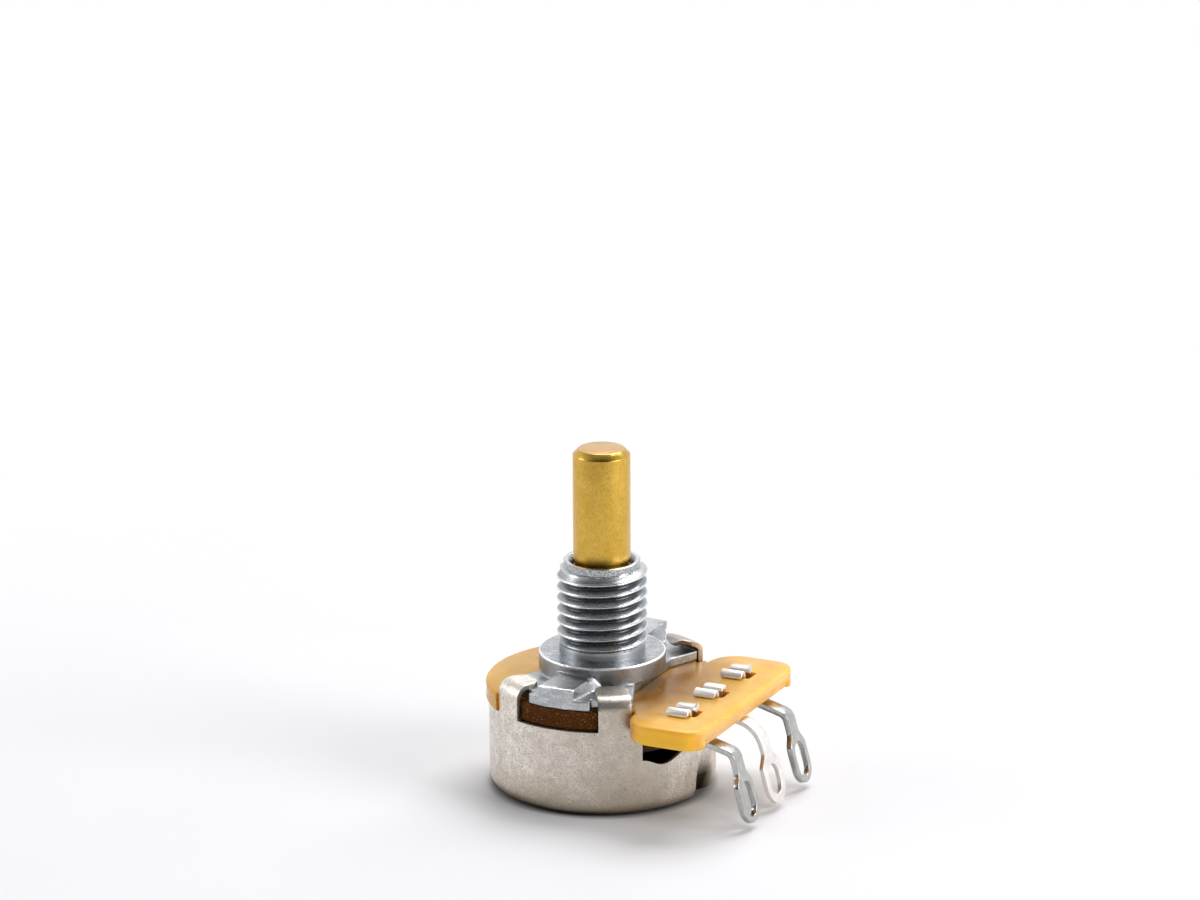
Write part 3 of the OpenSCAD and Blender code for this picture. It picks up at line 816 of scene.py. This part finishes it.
def can_column(angle):
    """Points of the can from its centre up to the cut-out's edge or the rim."""
    corner = CAN_CORNER - SHEET / 2
    base = CAN_BOTTOM + SHEET / 2
    rows = [(r, base) for r in BASE_RADII]
    rows += arc(CAN_R - CAN_CORNER, base + corner, corner, -90, 0, CORNER_STEPS)[1:]
    cut_low = RIM + CUTOUT[0][1]
    wall = steps_between(base + corner, cut_low, WALL_STEPS)
    near = (angle + 180) % 360 - 180
    y = MID_R * sin(radians(near))
    cut = cutout_level(y) if abs(near) < 90 else None
    if cut is not None:
        # The wall's upper rows follow the cut-out's edge
        level = wall[WALL_STEPS // 2]
        wall = [min(z, level) + max(0.0, z - level) * (cut - level) / (cut_low - level) for z in wall]
    if cut is None or abs(abs(y) - CUTOUT[-1][0]) < 1e-3:
        wall += steps_between(cut_low, RIM, UPPER_STEPS)
    return [can_point(r, angle, z) for r, z in rows + [(MID_R, z) for z in wall]]


def build_can():
    bm = bmesh.new()
    columns = can_columns()
    table = [[bm.verts.new(point) for point in can_column(angle)] for angle, _ in columns]
    for here, after in zip(table, table[1:] + table[:1]):
        join_columns(bm, here, after)
    add_tabs(bm, columns, table)
    bmesh.ops.remove_doubles(bm, verts=bm.verts[:], dist=2e-3)
    obj = piece("can_shell", bm, "nickel_plate", "can")
    modifier = obj.modifiers.new("sheet", "SOLIDIFY")
    modifier.thickness = SHEET * MM
    modifier.offset = 0
    modifier.use_even_offset = True
    apply_modifiers(obj)
    bevelled(obj, 0.11, segments=3, angle=50)
    shade(obj, 50)


def tab_strip(tab, path, y):
    """Points along a tab at a sideways place, where the tip's corners are round."""
    sprung = tab == SPRUNG_TAB
    half = TAB_W / 2
    corner = SPRUNG_ROUND if sprung else TAB_TIP
    over = max(0.0, abs(y) - (half - corner))
    fold = path[-FOLD_STEPS - 1:]
    start_r, tip_r = fold[0][0], fold[-1][0]
    end_r = tip_r + corner - sqrt(max(0.0, corner ** 2 - over ** 2))
    turn = radians(tab)
    points = []
    for i, (r, z) in enumerate(path):
        if i >= len(path) - FOLD_STEPS:
            r = start_r - (start_r - end_r) * (start_r - r) / (start_r - tip_r)
            z = height_at(fold, r)
            if sprung:
                z -= SPRUNG_TWIST * (start_r - r) / (start_r - tip_r) * y / half
        x = sqrt(r * r - y * y) if i < STAND_STEPS else r * sqrt(1 - (y / MID_R) ** 2)
        points.append((x * cos(turn) - y * sin(turn), x * sin(turn) + y * cos(turn), z))
    return points


def add_tabs(bm, columns, table):
    """The tabs, each on top of the columns that belong to it."""
    for tab in TABS:
        path = tab_path(tab)
        strips = []
        for (_, place), column in zip(columns, table):
            if place and place[0] == tab:
                points = tab_strip(tab, path, place[1])
                strips.append([column[-1]] + [bm.verts.new(point) for point in points])
        for here, after in zip(strips, strips[1:]):
            join_columns(bm, here, after)


# Bushing

def thread_radius(angle, z):
    """Radius of the barrel's surface: a rounded right-hand thread that runs out at the base."""
    turn = (z / PITCH - angle / (2 * math.pi) + THREAD_PHASE) % 1.0
    crest = 1 - abs(2 * turn - 1)
    height = THREAD_ROUND * soft_step(crest) + (1 - THREAD_ROUND) * crest
    cut = soft_step(clamp((z - RUN_OUT) / RUN_OUT_LEN))
    r = (ROOT_R + (CREST_R - ROOT_R) * height) * cut + COLLAR_R * (1 - cut)
    down = BARREL_TOP - z
    r = min(r, NOSE_R + NOSE_TAPER * down + max(0.0, down - NOSE_LEN) * NOSE_SLOPE)
    # Above the first crest the thread's groove isn't cut: a cone leads in from the nose
    turn = (degrees(angle) - LEAD_FROM) % 360 / 360
    crest_z = FIRST_CREST + turn * PITCH
    if z > crest_z and down > NOSE_LEN:
        lead = NOSE_R + (CREST_R - NOSE_R) * (down - NOSE_LEN) / (BARREL_TOP - NOSE_LEN - crest_z)
        r = max(r, r + (min(lead, CREST_R) - r) * soft_step(clamp(turn / LEAD_FADE)))
    return r


def add_barrel(bm):
    """The barrel from its foot up the thread, over the end and down the bore."""
    turns = [2 * math.pi * k / BARREL_STEPS for k in range(BARREL_STEPS)]
    levels = [BARREL_ROW * i for i in range(round(BARREL_FOOT / BARREL_ROW), round(BARREL_TOP / BARREL_ROW))]
    rows = [([thread_radius(a, z) for a in turns], z) for z in levels]
    mouth_r = BORE_R + MOUTH
    end = ((NOSE_R + 0.02, BARREL_TOP - 0.06), (NOSE_R - 0.05, BARREL_TOP), (mouth_r + 0.05, BARREL_TOP),
           (mouth_r - 0.03, BARREL_TOP - 0.05), (BORE_R, BARREL_TOP - MOUTH), (BORE_R, BARREL_FOOT))
    rows += [([r] * BARREL_STEPS, z) for r, z in end]
    rings = []
    for radii, z in rows:
        rings.append([bm.verts.new((r * cos(a), r * sin(a), z)) for r, a in zip(radii, turns)])
    join_rings(bm, rings + rings[:1])


def soften_rib(mesh):
    """Makes each of the rib's sides one twisted face, with a fillet where it meets the boss."""
    bm = bmesh.new()
    bm.from_mesh(mesh)
    corner = []
    for v in bm.verts:
        x, y, z = (c / MM for c in v.co)
        along = (y + PLATE_R) / (PLATE_R - BOSS_R)
        down = (RIB_TOP - z) / (RIB_TOP - PLATE_TOP)
        if not (0 < along < RIB_REACH and 0 < down < 1):
            continue
        spread = min(along, down, 1)
        if FLANK_NEAR[0] < abs(x) - RIB_HALF - RIB_SPREAD * spread < FLANK_NEAR[1]:
            v.co.x -= math.copysign(RIB_SPREAD * (spread - min(along, 1) * down), x) * MM
        if along > FILLET_FROM and FILLET_SIDE[0] < abs(x) < FILLET_SIDE[1]:
            corner.append(v)
    for _ in range(FILLET_PASSES):
        bmesh.ops.smooth_vert(bm, verts=corner, factor=0.5,
                              use_axis_x=True, use_axis_y=True, use_axis_z=True)
    bm.to_mesh(mesh)
    bm.free()


def build_bushing():
    """The casting below the seat is the CAD's own solid, rounded as a die leaves it."""
    bm = node_mesh("bushing")
    for v in bm.verts:
        # The rib's front is flush with the plate's edge
        out = math.hypot(v.co.x, v.co.y)
        if v.co.y < 0 and abs(out - RIB_R) < 0.02:
            v.co.x, v.co.y = v.co.x * PLATE_R / out, v.co.y * PLATE_R / out
        if v.co.y > BOSS_R and v.co.z > PLATE_TOP + 0.1:
            v.co.x *= LUG_WIDEN
    cut = cut_mesh(bm, (0, 0, 0.02), (0, 0, 1), clear_outer=True)
    edges = [e for e in cut["geom_cut"] if isinstance(e, bmesh.types.BMEdge)]
    bmesh.ops.triangle_fill(bm, edges=edges, use_beauty=True)
    casting = piece("bushing_casting", bm, "zinc_casting", "bushing")
    remesh = casting.modifiers.new("round", "REMESH")
    remesh.mode = "VOXEL"
    remesh.voxel_size = VOXEL * MM
    smooth = casting.modifiers.new("soft", "SMOOTH")
    smooth.factor = 0.5
    smooth.iterations = 3
    apply_modifiers(casting)
    soften_rib(casting.data)
    shade(casting, 60)
    bm = bmesh.new()
    add_barrel(bm)
    shade(piece("bushing_barrel", bm, "zinc_casting", "bushing"), 60)


# Board

def board_outline():
    """The disc and the extension that carries the terminals, as one loop that turns left."""
    cx = BOARD_INNER_X + BOARD_FLARE
    cy = BOARD_HALF - BOARD_FLARE
    d = math.hypot(cx, cy)
    along = (BOARD_R ** 2 - BOARD_FLARE ** 2 + d * d) / (2 * d)
    across = sqrt(BOARD_R ** 2 - along ** 2)
    x = (cx * along - cy * across) / d
    y = (cy * along + cx * across) / d
    disc_from = degrees(math.atan2(y, x))
    flare_from = degrees(math.atan2(y - cy, x - cx)) % 360
    ex = BOARD_REACH - BOARD_CORNER
    ey = BOARD_HALF - BOARD_CORNER
    points = []
    turn = disc_from
    for tab in sorted(t % 360 for t in TABS):
        side = TAB_W / 2 + NOTCH_GAP
        wide = degrees(asin(side / BOARD_R))
        deep = degrees(asin(side / NOTCH_R))
        if tab - wide > turn:
            r = WINDOW_R if tab == FLAT_TABS[1] % 360 else BOARD_R
            points += disc_arc(r, turn, tab - wide)
        points += arc(0, 0, NOTCH_R, tab - deep, tab + deep, 6)
        turn = tab + wide
    points += disc_arc(BOARD_R, turn, 360 - disc_from)
    points += arc(cx, -cy, BOARD_FLARE, 360 - flare_from, 270, 16)[1:]
    points += arc(ex, -ey, BOARD_CORNER, -90, 0, 10)
    points += arc(ex, ey, BOARD_CORNER, 0, 90, 10)
    points += arc(cx, cy, BOARD_FLARE, 90, flare_from, 16)[:-1]
    return points


def slot_loop(y):
    """A terminal's slot in the board, turning right."""
    r = SLOT_CORNER
    x0, x1 = SLOT_X, SLOT_X + SLOT_LEN
    y0, y1 = y - STRAP_W / 2, y + STRAP_W / 2 + SLOT_SPREAD
    return (arc(x0 + r, y0 + r, r, 270, 180, 4) + arc(x0 + r, y1 - r, r, 180, 90, 4)
            + arc(x1 - r, y1 - r, r, 90, 0, 4) + arc(x1 - r, y0 + r, r, 0, -90, 4))


def build_wafer():
    profile = [(inset, RIM + z) for inset, z in EDGE_LIPS]
    hole = arc(0, 0, BOARD_HOLE_R, 360, 360 / HOLE_STEPS, HOLE_STEPS - 1)
    slots = [slot_loop(k * PITCH_Y) for k in (-1, 0, 1)]
    bm = bmesh.new()
    plate(bm, [board_outline(), hole] + slots, profile, round_profile(RIM, BOARD_TOP, SLOT_EDGE))
    for v in bm.verts:
        # The end is torn back at its lower edge
        low = 1 - clamp((v.co.z - RIM) / TORN_HEIGHT)
        if v.co.x > BOARD_REACH - TORN_NEAR and abs(v.co.y) < TORN_HALF:
            v.co.x -= TORN_BACK * low * (1 + TORN_UNEVEN * noise.noise(v.co * TORN_GRAIN))
    shade(piece("wafer_board", bm, "board_laminate", "wafer"), 40)


# Terminals

def path_along(points):
    """Cumulative lengths of a path in the X-Z plane."""
    lengths = [0.0]
    for a, b in zip(points, points[1:]):
        lengths.append(lengths[-1] + math.dist(a, b))
    return lengths


def bend_flat(bm, path):
    """Bends flat sheet, drawn along X from zero, so that it follows a path in the X-Z plane."""
    lengths = path_along(path)
    for cut in lengths[1:-1]:
        cut_mesh(bm, (cut, 0, 0), (1, 0, 0))
    tangents = []
    for i in range(len(path)):
        a, b = path[max(i - 1, 0)], path[min(i + 1, len(path) - 1)]
        tangents.append(Vector((b[0] - a[0], b[1] - a[1])).normalized())
    for v in bm.verts:
        s = min(max(v.co.x, 0.0), lengths[-1])
        k = max(i for i in range(len(lengths) - 1) if lengths[i] <= s + 1e-9)
        share = (s - lengths[k]) / (lengths[k + 1] - lengths[k])
        x = path[k][0] + (path[k + 1][0] - path[k][0]) * share
        z = path[k][1] + (path[k + 1][1] - path[k][1]) * share
        t = tangents[k].lerp(tangents[k + 1], share).normalized()
        n = v.co.z
        v.co = Vector((x - t.y * n, v.co.y, z + t.x * n))


def turned_path(start, heading, turn, r, steps=10):
    """An arc of a path that heads down by an angle and turns further down."""
    before = radians(heading)
    path = []
    for i in range(steps + 1):
        a = radians(heading + turn * i / steps)
        path.append((start[0] + r * (sin(a) - sin(before)),
                     start[1] + r * (cos(a) - cos(before))))
    return path


def terminal_path(outer, sheet):
    """Middle line of a terminal from its foot to its tip."""
    foot_x, level = OUTER_FOOT if outer else CENTRE_FOOT
    level -= sheet / 2
    if outer:
        path = turned_path((SLOT_X + SLOT_LEN, level), 0, STRAP_SLOPE, STRAP_BEND, 4)
        down = radians(STRAP_SLOPE)
        end = (path[-1][0] + STRAP_LEN * cos(down), path[-1][1] - STRAP_LEN * sin(down))
        path += turned_path(end, STRAP_SLOPE, 90 - LUG_LEAN - STRAP_SLOPE, LUG_BEND - sheet / 2)
    else:
        knee = (BOARD_REACH - CENTRE_KNEE, level)
        path = turned_path(knee, 0, 90 - LUG_LEAN, CENTRE_BEND - sheet / 2, 14)
    drop = radians(90 - LUG_LEAN)
    tip_z = TIP_Z + sheet / 2 * sin(radians(LUG_LEAN))
    x, z = path[-1]
    reach = (z - tip_z) / sin(drop)
    return [(foot_x, level)] + path + [(x + reach * cos(drop), z - reach * sin(drop))]


def lug_outline(length, width):
    """Outline of a flat terminal along X from zero, with the eye at its end, turning left."""
    r = width / 2
    half = STRAP_W / 2
    flare_from = length - EYE_LEN - FLARE_BACK
    lower = [(0.0, -half)]
    for i in range(FLARE_STEPS + 1):
        share = i / FLARE_STEPS
        lower.append((flare_from + FLARE_LEN * share, -half - (r - half) * soft_step(share)))
    tip = arc(length - r, 0, r, -90, 90, 20)
    return lower + tip + [(x, -y) for x, y in reversed(lower)]


def eye_loop(length, width, ring):
    """The eye of a flat terminal, turning right."""
    r = width / 2 - ring
    near = length - EYE_LEN + ring + r + EYE_GAP
    far = length - ring - r
    return arc(near, 0, r, 270, 90, 14) + arc(far, 0, r, 90, -90, 14)


def prong_path(root, bend_z, r, turn, tail):
    """Middle line of a prong across the board: up its slot, round a bend and along its tail."""
    path = [(root, PRONG_ROOT), (root, PRONG_STAND)] + arc(root + r, bend_z, r, 180, 180 - turn, 12)
    a = radians(turn)
    x, z = path[-1]
    return path + [(x + tail * sin(a), z + tail * cos(a))]


def wring(mesh, path, half, angle):
    """Wrings the end of a bent prong up, more and more towards one corner."""
    pivot_x, pivot_z = path[2][0] + 0.3, BOARD_TOP + 0.1
    for v in mesh.verts:
        if v.co.z > BOARD_TOP - 0.2:
            share = max(0.0, v.co.y - WRING_FROM * half) / ((1 - WRING_FROM) * half)
            a = radians(angle) * share * share
            dx, dz = v.co.x - pivot_x, v.co.z - pivot_z
            v.co.x = pivot_x + dx * cos(a) - dz * sin(a) - WRING_BACK * share * share
            v.co.z = pivot_z + dx * sin(a) + dz * cos(a)


def add_prong(bm, path, along, y, side, angle=0):
    """A prong of sheet that follows its path, between two places along X, and may be wrung."""
    flat = bmesh.new()
    total = path_along(path)[-1]
    start, end = along
    half = (end - start) / 2
    upper = [(total, half - PRONG_CORNER), (total - PRONG_CORNER, half), (0, half)]
    lower = [(x, -across) for x, across in reversed(upper)]
    plate(flat, [lower + upper], round_profile(-TERM_T / 2, TERM_T / 2, PRONG_EDGE))
    for k in range(1, PRONG_CUTS):
        cut_mesh(flat, (0, half * k / PRONG_CUTS, 0), (0, 1, 0))
    bend_flat(flat, path)
    if angle:
        wring(flat, path, half, angle)
    for v in flat.verts:
        v.co = Vector((start + half + v.co.y, y + side * v.co.x, v.co.z))
    mesh = bpy.data.meshes.new("prong")
    flat.to_mesh(mesh)
    flat.free()
    bm.from_mesh(mesh)
    bpy.data.meshes.remove(mesh)


def add_prongs(bm, y, outer):
    """The two prongs of a terminal: one curled towards -Y and one folded towards +Y."""
    root = (STRAP_W - TERM_T) / 2
    near = prong_path(root, BOARD_TOP + PRONG_RISE, PRONG_CURL, 180, PRONG_TAIL)
    far = prong_path(root + SLOT_SPREAD, FAR_LEVEL, FAR_BEND, FAR_TURN, FAR_TAIL)
    add_prong(bm, near, (SLOT_X + 0.1, SLOT_X + 0.1 + PRONG_LEN), y, -1)
    far_end = SLOT_X + (OUTER_FAR_PRONG_LEN if outer else FAR_PRONG_LEN)
    add_prong(bm, far, (SLOT_X, far_end), y, 1, FAR_WRING if outer else 0)


def build_terminal(name, place, look):
    outer = place != 0
    sheet = OUTER_T if outer else CENTRE_T
    width, ring = (EYE_W, EYE_RING) if outer else (CENTRE_EYE_W, CENTRE_EYE_RING)
    path = terminal_path(outer, sheet)
    length = path_along(path)[-1]
    bm = bmesh.new()
    loops = [lug_outline(length, width), eye_loop(length, width, ring)]
    plate(bm, loops, round_profile(-sheet / 2, sheet / 2, LUG_EDGE))
    bend_flat(bm, path)
    for v in bm.verts:
        v.co.y += place * PITCH_Y
    add_prongs(bm, place * PITCH_Y, outer)
    if not outer:
        outside = arc(0, 0, COLLECTOR_R, 0, COLLECTOR_TURN, 59)
        inside = arc(0, 0, COLLECTOR_INNER_R, COLLECTOR_TURN, 0, 59)
        plate(bm, [outside, inside], round_profile(RIM - TERM_T, RIM, COLLECTOR_EDGE))
    shade(piece(name + "_lug", bm, look, name), 40)


# Shaft

def build_shaft():
    bm = node_mesh("shaft")
    bmesh.ops.dissolve_limit(bm, angle_limit=radians(0.5), verts=bm.verts[:], edges=bm.edges[:])
    obj = piece("shaft_rod", bm, "turned_brass", "shaft", body="turning_shaft")
    bevelled(obj, 0.035, segments=2, angle=30)
    shade(obj, 30)


# Studio

def add_camera():
    az, el, roll = (radians(a) for a in (CAMERA_AZIMUTH, CAMERA_ELEVATION, CAMERA_ROLL))
    back = Vector((sin(az) * cos(el), -cos(az) * cos(el), sin(el)))
    right = Vector((cos(az), sin(az), 0))
    up = back.cross(right)
    right, up = (right * cos(roll) + up * sin(roll), up * cos(roll) - right * sin(roll))
    place = back * CAMERA_DISTANCE
    aim = right * AIM[0] + up * AIM[1]
    look = (place - aim).normalized()
    side = (right - look * right.dot(look)).normalized()
    top = look.cross(side)
    camera = add_object("camera", bpy.data.cameras.new("camera"))
    camera.data.lens = CAMERA_LENS
    camera.data.sensor_width = 36
    camera.data.clip_end = 20
    camera.data.clip_start = 0.01
    camera.matrix_world = Matrix.Translation(place * MM) @ Matrix((side, top, look)).transposed().to_4x4()
    bpy.context.scene.camera = camera


CAMERA_SIDE = (sin(radians(CAMERA_AZIMUTH)), -cos(radians(CAMERA_AZIMUTH)), 0)


def ray_kind(tree, *kinds):
    """One where a ray is of any of these kinds."""
    path = tree.nodes.new("ShaderNodeLightPath")
    found = path.outputs[kinds[0]]
    for kind in kinds[1:]:
        found = combined(tree, "MAXIMUM", found, path.outputs[kind])
    return found


def towards(tree, vector, direction, start, end, from_value, to_value):
    """A value that changes along a fixed direction of the room."""
    dot = tree.nodes.new("ShaderNodeVectorMath")
    dot.operation = "DOT_PRODUCT"
    dot.inputs[1].default_value = direction
    tree.links.new(vector, dot.inputs[0])
    return map_range(tree, dot.outputs["Value"], start, end, from_value, to_value, "SMOOTHSTEP")


def mix_shaders(tree, factor, a, b):
    mix = tree.nodes.new("ShaderNodeMixShader")
    for value, socket in zip((factor, a, b), mix.inputs):
        tree.links.new(value, socket)
    return mix.outputs[0]


def add_world():
    """A pale room that lights mostly from behind and from the front right. Its reflections are
    darker overhead and on the camera's side."""
    world = bpy.data.worlds.new("studio")
    world.use_nodes = True
    tree = world.node_tree
    soft = tree.nodes["Background"]
    soft.inputs["Color"].default_value = (0.95, 0.97, 1.0, 1)
    plain = tree.nodes.new("ShaderNodeBackground")
    room = tree.nodes.new("ShaderNodeBackground")
    room.inputs["Color"].default_value = (0.97, 0.985, 1.0, 1)
    way = tree.nodes.new("ShaderNodeTexCoord").outputs["Generated"]
    behind = towards(tree, way, CAMERA_SIDE, 0.6, -0.6, WORLD_LIGHT, WORLD_LIGHT + BACK_LIGHT)
    beside = towards(tree, way, LIT_SIDE, 0.2, 0.9, 0.0, SIDE_LIGHT)
    tree.links.new(combined(tree, "ADD", behind, beside), soft.inputs["Strength"])
    front = towards(tree, way, CAMERA_SIDE, 0.05, 0.55, 0.0, 0.95)
    up = towards(tree, way, (0, 0, 1), 0.0, 0.22, 0.0, 1.0)
    above = towards(tree, way, (0, 0, 1), 0.45, 0.92, 1.0, 0.45)
    unlit = combined(tree, "MULTIPLY", front, up)
    level = combined(tree, "MULTIPLY", combined(tree, "SUBTRACT", 1.0, unlit), above)
    tree.links.new(level, room.inputs["Strength"])
    seen = mix_shaders(tree, ray_kind(tree, "Is Glossy Ray"), soft.outputs[0], room.outputs[0])
    seen = mix_shaders(tree, ray_kind(tree, "Is Camera Ray", "Is Transmission Ray"), seen, plain.outputs[0])
    tree.links.new(seen, tree.nodes["World Output"].inputs["Surface"])
    bpy.context.scene.world = world


def add_floor():
    """Pale paper that turns into the white background at a distance."""
    mesh = bpy.data.meshes.new("floor")
    half = 2.5
    z = CAD_BOUNDS[0][2] - 0.02 * MM
    corners = [(-half, -half, z), (half, -half, z), (half, half, z), (-half, half, z)]
    mesh.from_pydata(corners, [], [(0, 1, 2, 3)])
    floor = add_object("floor", mesh)
    look = Look("floor", roughness=0.75)
    look.shader.inputs["Specular IOR Level"].default_value = 0.1
    grain = look.noise(40, detail=2)
    colour = look.mix(look.ramp(grain, 0.3, 0.7), (0.72, 0.715, 0.73), (0.735, 0.73, 0.745))
    # Painted shadow in the gap beneath the can's corner
    painted_gap_shadow = look.rise(look.radius(), CAN_R - 0.9, CAN_R + 0.4, 0.85, 0.0)
    look.colour(look.mix(painted_gap_shadow, colour, (0.16, 0.15, 0.14)))
    tree = look.tree
    white = tree.nodes.new("ShaderNodeEmission")
    away = towards(tree, look.place, tuple(-c for c in CAMERA_SIDE), 0.02, 0.11, 0.0, 1.0)
    far = look.rise(look.radius(), 80, 300)
    pale = look.where(look.math("MAXIMUM", away, far), ray_kind(tree, "Is Camera Ray"))
    shown = mix_shaders(tree, pale, look.shader.outputs[0], white.outputs[0])
    tree.links.new(shown, tree.nodes["Material Output"].inputs["Surface"])
    mesh.materials.append(look.material)


def add_lamp(name, place, size, power):
    lamp = bpy.data.lights.new(name, "AREA")
    lamp.shape = "RECTANGLE"
    lamp.size, lamp.size_y = size
    lamp.energy = power
    obj = add_object(name, lamp)
    obj.location = place
    obj.rotation_euler = Vector(place).to_track_quat("Z", "Y").to_euler()


def add_studio():
    scene = bpy.context.scene
    scene.view_settings.view_transform = "Standard"
    add_camera()
    add_world()
    add_floor()
    for lamp in LAMPS:
        add_lamp(*lamp)


add_studio()
dress_nodes()
build_can()
build_bushing()
build_wafer()
build_terminal("terminal_left", -1, "tinned_sheet")
build_terminal("terminal_right", 1, "tinned_sheet")
build_terminal("terminal_centre", 0, "silver_plate")
build_shaft()
